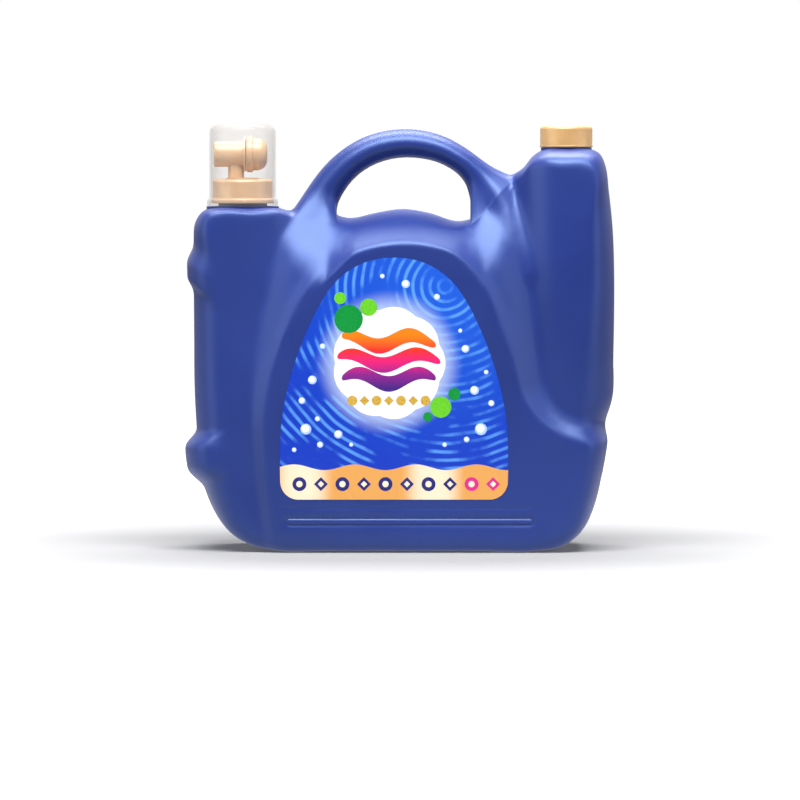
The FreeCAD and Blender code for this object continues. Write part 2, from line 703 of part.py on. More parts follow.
def skin_solid(mesh, points):
    """Closed solid of the smooth skin over the control points."""
    surfaces = []
    front_rim = []
    back_rim = []
    low = mesh.deep - window_rows
    high = mesh.deep + window_rows
    row_cuts = [0, low - 1, low, low + 1, high - 1, high, high + 1, mesh.rings]
    column_cuts = []
    roots = []
    for root in (left_root, right_root):
        a = mesh.starts[root[0]]
        b = mesh.starts[root[1]]
        roots.append((a, b))
        column_cuts += [a - 1, a, a + 1, b - 1, b, b + 1]
    column_cuts.append(column_cuts[0] + mesh.around)

    beyond = {}
    for edge, loop in zip(mesh.edges, (mesh.tube[1], mesh.tube[-2])):
        for place, point in zip(edge, loop):
            beyond[place] = point

    def touching(i0, i1, j0, j1):
        """The window that a block lies against, if any."""
        for a, b in roots:
            if i0 <= b and i1 >= a and j0 <= high and j1 >= low:
                return a, b
        return None

    for i0, i1 in zip(column_cuts, column_cuts[1:]):
        for j0, j1 in zip(row_cuts, row_cuts[1:]):
            if mesh.in_window(i0 % mesh.around, j0):
                continue
            near = touching(i0, i1, j0, j1)
            ids = [[mesh.at(i, j) for j in range(j0 - 1, j1 + 2)] for i in range(i0 - 1, i1 + 2)]
            if near:
                a, b = near
                corner = any(i in (a, b) and j in (low, high) for i in (i0, i1) for j in (j0, j1))
                if corner:
                    quad = (mesh.at(i0, j0), mesh.at(i0, j1), mesh.at(i1, j1), mesh.at(i1, j0))
                    surfaces.append(corner_surface(mesh, points, quad))
                    continue
                if j1 == low:
                    for row, i in zip(ids, range(i0 - 1, i1 + 2)):
                        row[-1] = beyond[(i, low)]
                elif j0 == high:
                    for row, i in zip(ids, range(i0 - 1, i1 + 2)):
                        row[0] = beyond[(i, high)]
                elif i1 == a:
                    ids[-1] = [beyond[(a, j)] for j in range(j0 - 1, j1 + 2)]
                elif i0 == b:
                    ids[0] = [beyond[(b, j)] for j in range(j0 - 1, j1 + 2)]
            surface = spline_surface([[points[k] for k in row] for row in ids])
            surfaces.append(surface)
            if j0 == 0:
                front_rim.append(surface.vIso(surface.bounds()[2]).toShape())
            if j1 == mesh.rings:
                back_rim.append(surface.vIso(surface.bounds()[3]).toShape())

    wide, deep = mesh.tube_sides
    corners = [0, wide, wide + deep, 2 * wide + deep]
    count = 2 * (wide + deep)
    cuts = []
    for corner in corners:
        cuts += [corner - 1, corner, corner + 1]
    cuts.append(count - 1)

    def tube_beyond(k, loop, side):
        """Point of the body's next row past an end of the handle, on one side of its window."""
        edge = mesh.edges[0] if loop < 0 else mesh.edges[1]
        _, b = roots[0] if loop < 0 else roots[1]
        i, j = edge[k % count]
        if side == 0:
            return mesh.at(i, low - 1)
        if side == 2:
            return mesh.at(i, high + 1)
        return mesh.at(i + 1, j) if i == b else mesh.at(i - 1, j)

    for k0, k1 in zip(cuts, cuts[1:]):
        for l0, l1 in ((0, 1), (1, handle_loops - 1), (handle_loops - 1, handle_loops)):
            at_corner = any(k % count in corners for k in (k0, k1)) and k1 - k0 == 1
            if at_corner and (l0 == 0 or l1 == handle_loops):
                quad = (mesh.tube[l0][k0 % count], mesh.tube[l1][k0 % count],
                        mesh.tube[l1][k1 % count], mesh.tube[l0][k1 % count])
                surfaces.append(corner_surface(mesh, points, quad))
                continue
            side = 0
            while side < 3 and (k0 % count) >= corners[side + 1]:
                side += 1
            rows = []
            for k in range(k0 - 1, k1 + 2):
                row = []
                for loop in range(l0 - 1, l1 + 2):
                    if 0 <= loop <= handle_loops:
                        row.append(points[mesh.tube[loop][k % count]])
                    else:
                        row.append(points[tube_beyond(k, loop, side)])
                rows.append(row)
            surfaces.append(spline_surface(rows))

    faces = [surface.toShape() for surface in surfaces]
    for rim in (front_rim, back_rim):
        faces.append(Part.Face(Part.Wire(Part.sortEdges(rim)[0])))
    shape = Part.makeShell(faces)
    shape.sewShape()
    solid = Part.makeSolid(shape if shape.ShapeType == "Shell" else shape.Shells[0])
    if solid.Volume < 0:
        solid.reverse()
    return solid


def turned(profile, origin, along_x=False):
    """Solid of revolution. The profile's points are radius, place along the axis and corner radius."""
    def place(radius, along):
        if along_x:
            return Vec(origin[0] + along, origin[1], origin[2] + radius)
        return Vec(origin[0] + radius, origin[1], origin[2] + along)

    edges = []
    count = len(profile)
    joints = []
    for index, (radius, along, corner) in enumerate(profile):
        at = place(radius, along)
        if not corner:
            joints.append((at, None, at))
            continue
        before = place(*profile[index - 1][:2])
        after = place(*profile[(index + 1) % count][:2])
        to_before = (before - at).normalize()
        to_after = (after - at).normalize()
        half_turn = math.pi / 2 - to_before.getAngle(to_after) / 2
        reach = corner * math.tan(half_turn)
        start = at + to_before * reach
        end = at + to_after * reach
        inward = (to_before + to_after).normalize()
        middle = at + inward * (corner / math.cos(half_turn) - corner)
        joints.append((start, middle, end))
    for index, (start, middle, end) in enumerate(joints):
        if middle:
            edges.append(Part.Arc(start, middle, end).toShape())
        following = joints[(index + 1) % count][0]
        if (following - end).Length > 1e-6:
            edges.append(Part.LineSegment(end, following).toShape())
    face = Part.Face(Part.Wire(edges))
    axis = Vec(1, 0, 0) if along_x else Vec(0, 0, 1)
    return face.revolve(Vec(*origin), axis, 360)


def upright(radius, bottom, top, x):
    return Part.makeCylinder(radius, top - bottom, Vec(x, 0, bottom))


def level(radius, left, right):
    """Cylinder on the tap's turning axis."""
    return Part.makeCylinder(radius, right - left, Vec(left, 0, barrel_height), Vec(1, 0, 0))


def capsule(left, right, radius, y):
    """Round bar with ball ends between two places of the groove."""
    balls = [Part.makeSphere(radius, Vec(x, y, groove_height)) for x in (left, right)]
    bar = Part.makeCylinder(radius, right - left, Vec(left, y, groove_height), Vec(1, 0, 0))
    return bar.multiFuse(balls)


def make_groove():
    """What is cut away: a shallow round groove, without the bead along its middle."""
    axis = -plateau_depth - groove_radius + groove_depth
    half = math.sqrt(groove_radius ** 2 - (groove_radius - groove_depth) ** 2)
    left = groove_left + half
    right = groove_right - half
    return capsule(left, right, groove_radius, axis).cut(
        capsule(left, right, bead_radius, -plateau_depth + bead_radius))


def make_pad():
    """Flat pad that the body stands on, sunk into the wall above it."""
    half = plateau_depth - pad_inset
    top = base_lift + wall / 2
    pad = Part.makeBox(pad_right - pad_left, 2 * half, top, Vec(pad_left, -half, 0))
    corners = [edge for edge in pad.Edges if edge.BoundBox.ZLength > top / 2]
    return pad.makeFillet(pad_corner, corners)


def make_bottle():
    mesh = SkinMesh()
    outside = skin_solid(mesh, mesh.points)
    inside = skin_solid(mesh, mesh.offset(wall))
    root = 8.0
    lands = [
        upright(filler_land_radius, filler_land_top - root, filler_land_top, filler_axis),
        upright(tap_land_radius, tap_land_top - 2 * wall, tap_land_top, tap_axis),
        upright(tap_neck_radius, tap_land_top - root, tap_land_top, tap_axis),
    ]
    bores = [
        upright(filler_bore_radius, filler_land_top - 2 * root, filler_land_top + 1.0, filler_axis),
        upright(tap_bore_radius, tap_land_top - 2 * root, tap_land_top + 1.0, tap_axis),
    ]
    body = outside.multiFuse(lands + [make_pad()]).cut(make_groove())
    hollow = inside.multiFuse(bores)
    print("outer litres", round(outside.Volume / 1e6, 3), "inner litres", round(inside.Volume / 1e6, 3))
    return body.cut(hollow)


def make_neck(radius, bore, bottom, top, axis):
    """Neck that stands on its land. It is a node of its own, so that its collision stays a ring."""
    return upright(radius, bottom, top, axis).cut(upright(bore, bottom - 1.0, top + 1.0, axis))


def make_label(y):
    """Sheet with the arched outline, its back on the panel at the front or the back."""
    keys = label_loop(0.0)
    half = len(keys) // 2
    foot = [Vec(x, y, z) for x, z in keys]
    corner_start = 2
    corner_end = corner_start + 5
    edges = []
    left = foot[corner_start + 1:corner_end + 1]
    right = foot[len(foot) - corner_end:len(foot) - corner_start]
    arch = Part.BSplineCurve()
    arch.interpolate(foot[corner_end:len(foot) - corner_end + 1])
    edges.append(arch.toShape())
    for corner in (left, right):
        edges.append(Part.Arc(corner[0], corner[2], corner[4]).toShape())
    edges.append(Part.LineSegment(right[4], left[0]).toShape())
    face = Part.Face(Part.Wire(Part.sortEdges(edges)[0]))
    return face.extrude(Vec(0, -label_thick if y < 0 else label_thick, 0))


def make_filler_cap():
    bottom = filler_land_top + seat_gap
    side = cap_radius - 0.3
    inner = filler_neck_radius + thread_room
    roof = cap_top - cap_top_wall
    return turned([
        (0.0, cap_top, 0), (side, cap_top, cap_corner), (side, bottom + cap_lip, 0),
        (cap_radius, bottom + cap_lip, 0), (cap_radius, bottom, 0.3), (inner, bottom, 0),
        (inner, roof, 0.6), (0.0, roof, 0),
    ], (filler_axis, 0, 0))


def make_filler_liner():
    top = cap_top - cap_top_wall
    radius = filler_neck_radius + thread_room - 1.0
    return upright(radius, top - liner_thick, top, filler_axis)


def make_collar():
    flange_top = collar_bottom + collar_flange_height
    inner = tap_neck_radius + thread_room
    roof = collar_top - collar_plate
    return turned([
        (collar_hole_radius, collar_top, 0), (collar_radius, collar_top, collar_corner),
        (collar_radius, flange_top, 0), (collar_flange_radius, flange_top, 0.6),
        (collar_flange_radius, collar_bottom, 0.4), (inner, collar_bottom, 0), (inner, roof, 0),
        (collar_hole_radius, roof, 0),
    ], (tap_axis, 0, 0))


def make_gasket():
    top = tap_neck_top + gasket_thick
    ring = upright(tap_neck_radius, tap_neck_top, top, tap_axis)
    return ring.cut(upright(tap_bore_radius, tap_neck_top - 1, top + 1, tap_axis))


def make_tap_body():
    """Base plate clamped by the collar, offset stem, and the barrel that the key turns in."""
    plate_bottom = tap_neck_top + gasket_thick
    plate_top = collar_top - collar_plate
    plate = upright(tap_neck_radius + thread_room - seat_gap, plate_bottom, plate_top, tap_axis)
    boss = upright(base_boss_radius, plate_bottom, base_boss_top, tap_axis)
    stem = upright(stem_radius, base_boss_top - 1.0, barrel_height, stem_axis)
    barrel = turned([
        (0.0, barrel_left, 0), (barrel_radius, barrel_left, 1.2),
        (barrel_radius, barrel_flange_left, 0), (barrel_flange_radius, barrel_flange_left, 0.3),
        (barrel_flange_radius, barrel_flange_right, 0.3), (0.0, barrel_flange_right, 0),
    ], (0, 0, barrel_height), True)
    solid = plate.multiFuse([boss, stem, barrel])
    solid = solid.cut(upright(stem_bore_radius, plate_bottom - 1, barrel_height, stem_axis))
    return solid.cut(level(barrel_bore_radius, barrel_left - 1, barrel_flange_right + 1))


def make_tap_key():
    """Hollow plug open to the left, with its port turned aside while shut, and the domed knob."""
    radius = barrel_bore_radius - key_clearance
    start = barrel_flange_right + knob_gap
    dome = start + knob_rim
    profile = [
        (0.0, key_left, 0), (radius, key_left, 0.5), (radius, start, 0),
        (knob_radius, start, 0.8), (knob_radius, dome, 0.8), (knob_dome_radius, dome, 0),
        (knob_dome_radius, knob_right, 8.0), (0.0, knob_right, 0),
    ]
    solid = turned(profile, (0, 0, barrel_height), True)
    solid = solid.cut(level(key_bore_radius, key_left - 1, key_bore_end))
    port = Part.makeCylinder(key_port_radius, radius + 1, Vec(stem_axis, 0, barrel_height), Vec(0, -1, 0))
    solid = solid.cut(port)
    for place in seal_places:
        outer = level(radius + 1, place - seal_radius, place + seal_radius)
        solid = solid.cut(outer.cut(level(radius - 2 * seal_radius, place - 2, place + 2)))
    return solid


def make_key_seal(place):
    middle = barrel_bore_radius - key_clearance - seal_radius
    return Part.makeTorus(middle, seal_radius, Vec(place, 0, barrel_height), Vec(1, 0, 0))


def make_tap_cover():
    bottom = tap_land_top + seat_gap
    flare = bottom + cover_flare_height
    inner = cover_radius - cover_wall
    return turned([
        (0.0, cover_top, 0), (cover_radius, cover_top, cover_corner), (cover_radius, flare + 1.2, 0.8),
        (cover_flare_radius, flare - 0.6, 0.8), (cover_flare_radius, bottom, 0.4),
        (cover_flare_radius - cover_wall, bottom, 0), (cover_flare_radius - cover_wall, flare - 1.4, 0),
        (inner, flare + 0.6, 0), (inner, cover_top - cover_wall, cover_corner - cover_wall),
        (0.0, cover_top - cover_wall, 0),
    ], (tap_axis, 0, 0))


parts = {
    "bottle": make_bottle(),
    "filler_neck": make_neck(filler_neck_radius, filler_bore_radius, filler_land_top,
                             filler_neck_top, filler_axis),
    "tap_neck": make_neck(tap_neck_radius, tap_bore_radius, tap_land_top, tap_neck_top, tap_axis),
    "front_label": make_label(-plateau_depth),
    "back_label": make_label(plateau_depth),
    "filler_cap": make_filler_cap(),
    "filler_cap_liner": make_filler_liner(),
    "tap_collar": make_collar(),
    "tap_gasket": make_gasket(),
    "tap_body": make_tap_body(),
    "tap_key": make_tap_key(),
    "tap_cover": make_tap_cover(),
}
for number, place in enumerate(seal_places, 1):
    parts["key_seal_" + str(number)] = make_key_seal(place)

os.makedirs("parts", exist_ok=True)
for name, shape in parts.items():
    solids = shape.Solids
    if len(solids) != 1 or not solids[0].isValid():
        raise ValueError(name + " is not one valid solid")
    solids[0].exportStep("parts/" + name + ".step")
    box = shape.BoundBox
    low = [round(v, 1) for v in (box.XMin, box.YMin, box.ZMin)]
    high = [round(v, 1) for v in (box.XMax, box.YMax, box.ZMax)]
    print(name, round(solids[0].Volume), low, high)
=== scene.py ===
import json
import math

import bmesh
import bpy
from mathutils import Matrix, Vector

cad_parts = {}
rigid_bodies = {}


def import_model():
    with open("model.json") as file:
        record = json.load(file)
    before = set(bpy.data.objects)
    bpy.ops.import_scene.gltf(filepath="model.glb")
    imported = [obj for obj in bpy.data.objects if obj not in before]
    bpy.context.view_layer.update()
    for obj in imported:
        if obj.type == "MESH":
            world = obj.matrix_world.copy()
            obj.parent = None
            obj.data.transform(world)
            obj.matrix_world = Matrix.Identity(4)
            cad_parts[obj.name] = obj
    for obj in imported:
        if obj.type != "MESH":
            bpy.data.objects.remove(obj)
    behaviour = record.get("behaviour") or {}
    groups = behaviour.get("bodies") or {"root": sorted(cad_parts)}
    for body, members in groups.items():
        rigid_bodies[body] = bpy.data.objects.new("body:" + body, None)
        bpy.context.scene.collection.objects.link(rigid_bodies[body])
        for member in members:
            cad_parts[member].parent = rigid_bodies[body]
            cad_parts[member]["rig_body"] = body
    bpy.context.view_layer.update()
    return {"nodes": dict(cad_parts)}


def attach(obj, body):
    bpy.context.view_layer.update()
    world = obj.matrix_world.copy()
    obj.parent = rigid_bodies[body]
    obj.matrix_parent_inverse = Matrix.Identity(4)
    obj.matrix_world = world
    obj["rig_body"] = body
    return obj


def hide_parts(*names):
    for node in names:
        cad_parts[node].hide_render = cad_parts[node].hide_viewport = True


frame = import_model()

# A blown eight litre detergent bottle with a carrying handle, a filler cap and a turn tap under a
# clear cover. Metres, front at -Y, standing on z = 0.

mm = 0.001
print("frame loaded:", len(frame["nodes"]), "nodes")


# Small helpers

def feed(tree, socket, value):
    if isinstance(value, bpy.types.NodeSocket):
        tree.links.new(value, socket)
    else:
        socket.default_value = value


def calc(tree, operation, *values, clamp=False):
    node = tree.nodes.new("ShaderNodeMath")
    node.operation = operation
    node.use_clamp = clamp
    for socket, value in zip(node.inputs, values):
        feed(tree, socket, value)
    return node.outputs[0]


def blendColours(tree, share, first, second):
    node = tree.nodes.new("ShaderNodeMix")
    node.data_type = "RGBA"
    feed(tree, node.inputs[0], share)
    feed(tree, node.inputs[6], first)
    feed(tree, node.inputs[7], second)
    return node.outputs[2]


def remap(tree, value, low, high, start=0.0, end=1.0):
    # smooth change from start to end while the value goes from low to high
    node = tree.nodes.new("ShaderNodeMapRange")
    node.interpolation_type = "SMOOTHSTEP"
    for socket, number in zip(node.inputs, (value, low, high, start, end)):
        feed(tree, socket, number)
    return node.outputs[0]


def paint(red, green, blue):
    # colour as seen on a screen, 0 to 255, made linear
    def linear(level):
        share = level / 255
        return share / 12.92 if share < 0.04 else ((share + 0.055) / 1.055) ** 2.4
    return linear(red), linear(green), linear(blue), 1.0


def objectPlace(tree):
    # x, y and z on the piece, in metres
    place = tree.nodes.new("ShaderNodeTexCoord").outputs["Object"]
    apart = tree.nodes.new("ShaderNodeSeparateXYZ")
    tree.links.new(place, apart.inputs[0])
    return place, apart.outputs[0], apart.outputs[1], apart.outputs[2]


def noise(tree, place, scale, detail=2.0):
    node = tree.nodes.new("ShaderNodeTexNoise")
    node.inputs["Scale"].default_value = scale
    node.inputs["Detail"].default_value = detail
    tree.links.new(place, node.inputs["Vector"])
    return node.outputs[0]


def clouds(tree, place, scale, detail=3.0):
    # slow, soft patches between 0 and 1
    return remap(tree, noise(tree, place, scale, detail), 0.3, 0.7)


def newMaterial(name):
    material = bpy.data.materials.new(name)
    material.use_nodes = True
    tree = material.node_tree
    return material, tree, tree.nodes["Principled BSDF"]


def setInputs(shader, **values):
    for name, value in values.items():
        shader.inputs[name.replace("_", " ")].default_value = value


def newPiece(name, bm, material, body, sharpAngle=35.0):
    # closes a bmesh into an object whose faces are smooth apart from its sharp edges
    for face in bm.faces:
        face.smooth = True
    for edge in bm.edges:
        edge.smooth = len(edge.link_faces) != 2 or edge.calc_face_angle(0.0) < math.radians(sharpAngle)
    mesh = bpy.data.meshes.new(name)
    bm.to_mesh(mesh)
    bm.free()
    mesh.materials.append(material)
    piece = bpy.data.objects.new(name, mesh)
    bpy.context.scene.collection.objects.link(piece)
    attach(piece, body)
    return piece


def onRing(vert, radius, height):
    off = max(abs(math.hypot(vert.co.x, vert.co.y) - radius), abs(vert.co.z - height))
    return off < 0.01 * mm


def spunShape(profile, steps=96):
    # closed turned shape about Z; each corner is a radius, a height and a rounding, in mm
    bm = bmesh.new()
    verts = [bm.verts.new((radius * mm, 0, height * mm)) for radius, height, _ in profile]
    edges = [bm.edges.new(pair) for pair in zip(verts, verts[1:])]
    if profile[0][0] and profile[-1][0]:
        edges.append(bm.edges.new((verts[-1], verts[0])))
    bmesh.ops.spin(bm, geom=verts + edges, cent=(0, 0, 0), axis=(0, 0, 1), angle=math.tau,
                   steps=steps, use_merge=True)
    bmesh.ops.remove_doubles(bm, verts=bm.verts, dist=0.001 * mm)
    bmesh.ops.recalc_face_normals(bm, faces=bm.faces)
    for radius, height, rounding in profile:
        if rounding:
            ring = [edge for edge in bm.edges
                    if all(onRing(vert, radius * mm, height * mm) for vert in edge.verts)]
            bmesh.ops.bevel(bm, geom=ring, offset=rounding * mm, affect="EDGES",
                            segments=max(3, round(rounding * 2)), profile=0.5, material=-1)
    return bm


def mergedCopy(node, name, material, sharpAngle=35.0):
    # smooth-shaded stand-in for a node, with its own triangles merged
    source = frame["nodes"][node]
    bm = bmesh.new()
    bm.from_mesh(source.data)
    bmesh.ops.remove_doubles(bm, verts=bm.verts, dist=0.001 * mm)
    for layer in list(bm.loops.layers.float_vector):
        bm.loops.layers.float_vector.remove(layer)
    piece = newPiece(name, bm, material, source["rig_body"], sharpAngle)
    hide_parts(node)
    print(name, len(piece.data.polygons), "faces")


# Shared shader group: fine moulded grain with a slightly uneven gloss

grain = {
    "fineScale": 900.0,
    "fineDepth": 0.03,          # mm, as are the other depths that go to the group
    "slowScale": 38.0,
    "slowDepth": 0.05,
    "patchScale": 14.0,         # patches of duller and glossier skin
    "glossLow": 0.36,
    "glossHigh": 0.46,
}


def makePlasticGrain():
    group = bpy.data.node_groups.new("plasticGrain", "ShaderNodeTree")
    for name, value in (("Grain Scale", grain["fineScale"]), ("Grain Depth", grain["fineDepth"]),
                        ("Wave Depth", grain["slowDepth"]), ("Gloss Low", grain["glossLow"]),
                        ("Gloss High", grain["glossHigh"])):
        socket = group.interface.new_socket(name=name, in_out="INPUT", socket_type="NodeSocketFloat")
        socket.default_value = value
    group.interface.new_socket(name="Extra Height", in_out="INPUT", socket_type="NodeSocketFloat")
    group.interface.new_socket(name="Roughness", in_out="OUTPUT", socket_type="NodeSocketFloat")
    group.interface.new_socket(name="Normal", in_out="OUTPUT", socket_type="NodeSocketVector")
    given = group.nodes.new("NodeGroupInput")
    result = group.nodes.new("NodeGroupOutput")
    place = objectPlace(group)[0]
    fine = noise(group, place, grain["fineScale"], 1.0)
    group.links.new(given.outputs["Grain Scale"], fine.node.inputs["Scale"])
    slow = noise(group, place, grain["slowScale"])
    height = calc(group, "MULTIPLY", fine, given.outputs["Grain Depth"])
    height = calc(group, "ADD", height, calc(group, "MULTIPLY", slow, given.outputs["Wave Depth"]))
    height = calc(group, "ADD", height, given.outputs["Extra Height"])
    bump = group.nodes.new("ShaderNodeBump")
    bump.inputs["Strength"].default_value = 1.0
    bump.inputs["Distance"].default_value = mm
    group.links.new(height, bump.inputs["Height"])
    group.links.new(bump.outputs[0], result.inputs["Normal"])
    patches = noise(group, place, grain["patchScale"], 3.0)
    gloss = remap(group, patches, 0.3, 0.7, given.outputs["Gloss Low"], given.outputs["Gloss High"])
    group.links.new(gloss, result.inputs["Roughness"])
    return group


plasticGrain = makePlasticGrain()


def useGrain(tree, shader, **values):
    node = tree.nodes.new("ShaderNodeGroup")
    node.node_tree = plasticGrain
    for name, value in values.items():
        feed(tree, node.inputs[name.replace("_", " ")], value)
    tree.links.new(node.outputs["Roughness"], shader.inputs["Roughness"])
    tree.links.new(node.outputs["Normal"], shader.inputs["Normal"])


# Blown body

jug = {
    "colour": paint(20, 36, 104),
    "deepColour": paint(16, 31, 94),
    "shine": (0.42, 0.60, 1.0, 1.0),
    "shineLevel": 0.85,
    "cloudScale": 9.0,
    "grainScale": 700.0,
    "grainDepth": 0.012,
    "waveDepth": 0.10,
    "glossLow": 0.42,
    "glossHigh": 0.49,
    "seamHalf": 0.35,           # mm, half width of the parting line
    "seamDepth": 0.12,
    "creaseHeight": 35.0,       # mm, soft crease above the groove on the front
    "creaseHalf": 2.4,
    "creaseDepth": 0.35,
    "creaseLeft": -95.0,
    "creaseRight": 108.0,
    "creaseFade": 12.0,         # mm, over which each end of the crease dies away
    "sharpAngle": 40.0,         # degrees, past which an edge is drawn sharp
}


def makeJugPlastic():
    material, tree, shader = newMaterial("royalBluePlastic")
    place, x, y, z = objectPlace(tree)
    cloud = clouds(tree, place, jug["cloudScale"])
    tree.links.new(blendColours(tree, cloud, jug["deepColour"], jug["colour"]), shader.inputs["Base Color"])
    seam = remap(tree, calc(tree, "ABSOLUTE", y), 0.0, jug["seamHalf"] * mm, jug["seamDepth"], 0.0)
    offHeight = calc(tree, "ABSOLUTE", calc(tree, "SUBTRACT", z, jug["creaseHeight"] * mm))
    crease = remap(tree, offHeight, 0.0, jug["creaseHalf"] * mm, jug["creaseDepth"], 0.0)
    left, right, fade = (jug[end] * mm for end in ("creaseLeft", "creaseRight", "creaseFade"))
    within = calc(tree, "MULTIPLY", remap(tree, x, left, left + fade),
                  remap(tree, x, right - fade, right, 1.0, 0.0))
    crease = calc(tree, "MULTIPLY", crease, within)
    extra = calc(tree, "SUBTRACT", seam, crease)
    useGrain(tree, shader, Extra_Height=extra, Grain_Scale=jug["grainScale"], Grain_Depth=jug["grainDepth"],
             Wave_Depth=jug["waveDepth"], Gloss_Low=jug["glossLow"], Gloss_High=jug["glossHigh"])
    setInputs(shader, IOR=1.5, Specular_Tint=jug["shine"], Specular_IOR_Level=jug["shineLevel"])
    return material


jugPlastic = makeJugPlastic()
for node, name in (("bottle", "jugBody"), ("filler_neck", "fillerNeck"), ("tap_neck", "tapNeck")):
    mergedCopy(node, name, jugPlastic, jug["sharpAngle"])

fillerAxis = 129.0              # mm, x of the filler neck's middle
tapAxis = -122.9                # mm, x of the tap neck's middle

neckThread = {
    "radius": 17.1,             # mm, outside of the neck
    "sunk": 0.4,                # how far the thread's foot is let into it
    "proud": 1.2,
    "foot": 315.4,
    "pitch": 3.6,
    "turns": 2.0,
    "stepsPerTurn": 64,
    "rootHalf": 1.1,
    "crestHalf": 0.4,
    "fadeTurn": 0.2,            # share of a turn over which an end thins to nothing
}


def makeNeckThread():
    # one trapezoid carried up a helix, thinned to nothing at both ends
    size = neckThread
    bm = bmesh.new()
    root = size["radius"] - size["sunk"]
    crest = size["radius"] + size["proud"]
    section = [(root, -size["rootHalf"]), (crest, -size["crestHalf"]),
               (crest, size["crestHalf"]), (root, size["rootHalf"])]
    verts = [bm.verts.new((radius * mm, 0, (size["foot"] + rise) * mm)) for radius, rise in section]
    face = bm.faces.new(verts)
    steps = round(size["turns"] * size["stepsPerTurn"])
    climb = size["pitch"] * size["turns"] * mm
    bmesh.ops.spin(bm, geom=[face], cent=(0, 0, 0), axis=(0, 0, 1), angle=math.tau * size["turns"],
                   steps=steps, dvec=(0, 0, climb / steps))
    fade = size["pitch"] / 4 * mm
    for vert in bm.verts:
        radius = math.hypot(vert.co.x, vert.co.y)
        turn = (math.atan2(vert.co.y, vert.co.x) % math.tau) / math.tau
        rise = vert.co.z - size["foot"] * mm
        nearStart = max(0.0, 1.0 - turn / size["fadeTurn"]) if rise < fade else 0.0
        nearEnd = 0.0
        if rise > climb - fade * 2 and turn > 0.5:
            nearEnd = max(0.0, 1.0 - (1.0 - turn) / size["fadeTurn"])
        if rise > climb - fade and turn < 0.01:
            nearEnd = 1.0
        share = max(nearStart, nearEnd)
        if share and radius > (root + 0.1) * mm:
            shrink = 1.0 + (root * mm / radius - 1.0) * share
            vert.co.x *= shrink
            vert.co.y *= shrink
    bmesh.ops.translate(bm, verts=bm.verts, vec=(fillerAxis * mm, 0, 0))
    bmesh.ops.recalc_face_normals(bm, faces=bm.faces)
    newPiece("fillerNeckThread", bm, jugPlastic, "jug")


makeNeckThread()
print("body done")


# Pearly gold of the cap, the collar and the tap

gold = {
    "colour": paint(170, 134, 86),
    "deepColour": paint(158, 122, 77),
    "roseColour": paint(197, 160, 121),
    "roseDeepColour": paint(187, 150, 113),
    "fleck": paint(216, 186, 142),
    "fleckScale": 3200.0,
    "fleckShare": 0.35,
    "cloudScale": 60.0,
    "metal": 0.12,
    "coat": 0.2,
    "coatGloss": 0.25,
    "sharpAngle": 30.0,
}


def makePearlGold(name, colour, deepColour):
    material, tree, shader = newMaterial(name)
    place = objectPlace(tree)[0]
    cloud = clouds(tree, place, gold["cloudScale"])
    base = blendColours(tree, cloud, deepColour, colour)
    flecks = remap(tree, noise(tree, place, gold["fleckScale"], 0.0), 0.62, 0.78, 0.0, gold["fleckShare"])
    tree.links.new(blendColours(tree, flecks, base, gold["fleck"]), shader.inputs["Base Color"])
    useGrain(tree, shader, Grain_Scale=1500.0, Grain_Depth=0.006, Wave_Depth=0.02,
             Gloss_Low=0.38, Gloss_High=0.46)
    setInputs(shader, Metallic=gold["metal"], IOR=1.5, Coat_Weight=gold["coat"],
              Coat_Roughness=gold["coatGloss"])
    return material


capGold = makePearlGold("pearlGold", gold["colour"], gold["deepColour"])
tapGold = makePearlGold("pearlGoldRose", gold["roseColour"], gold["roseDeepColour"])

fillerCap = {
    "bottom": 312.6,
    "top": 328.9,
    "radius": 20.4,
    "lipRadius": 20.7,
    "lip": 1.5,
    "inner": 18.9,
    "roof": 327.1,
    "corner": 2.6,
    "dishRadius": 16.5,
    "dishEdge": 0.6,
    "dishDepth": 0.5,
}


def makeFillerCap():
    size = fillerCap
    lipTop = size["bottom"] + size["lip"]
    dish = size["top"] - size["dishDepth"]
    bm = spunShape([
        (0, dish, 0), (size["dishRadius"], dish, 0.3),
        (size["dishRadius"] + size["dishEdge"], size["top"], 0.4),
        (size["radius"], size["top"], size["corner"]), (size["radius"], lipTop, 0.2),
        (size["lipRadius"], lipTop, 0.25), (size["lipRadius"], size["bottom"], 0.3),
        (size["inner"], size["bottom"], 0.2), (size["inner"], size["roof"], 0.5), (0, size["roof"], 0),
    ])
    bmesh.ops.translate(bm, verts=bm.verts, vec=(fillerAxis * mm, 0, 0))
    cap = newPiece("fillerCapShell", bm, capGold, "cap")
    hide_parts("filler_cap")


makeFillerCap()

collar = {
    "bottom": 269.1,
    "top": 287.8,
    "radius": 23.3,
    "flangeRadius": 24.4,
    "flange": 3.4,
    "hole": 13.0,
    "inner": 20.7,
    "roof": 285.4,
    "corner": 2.8,
}


def makeCollar():
    size = collar
    flangeTop = size["bottom"] + size["flange"]
    bm = spunShape([
        (size["hole"], size["top"], 0.3), (size["radius"], size["top"], size["corner"]),
        (size["radius"], flangeTop, 0.4), (size["flangeRadius"], flangeTop, 0.6),
        (size["flangeRadius"], size["bottom"], 0.4), (size["inner"], size["bottom"], 0),
        (size["inner"], size["roof"], 0), (size["hole"], size["roof"], 0),
    ])
    bmesh.ops.translate(bm, verts=bm.verts, vec=(tapAxis * mm, 0, 0))
    piece = newPiece("tapCollarShell", bm, tapGold, "jug")
    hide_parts("tap_collar")


makeCollar()
mergedCopy("tap_body", "tapBarrel", tapGold, gold["sharpAngle"])
mergedCopy("tap_key", "tapKnob", tapGold, gold["sharpAngle"])
print("gold parts done")


# Seals and liner

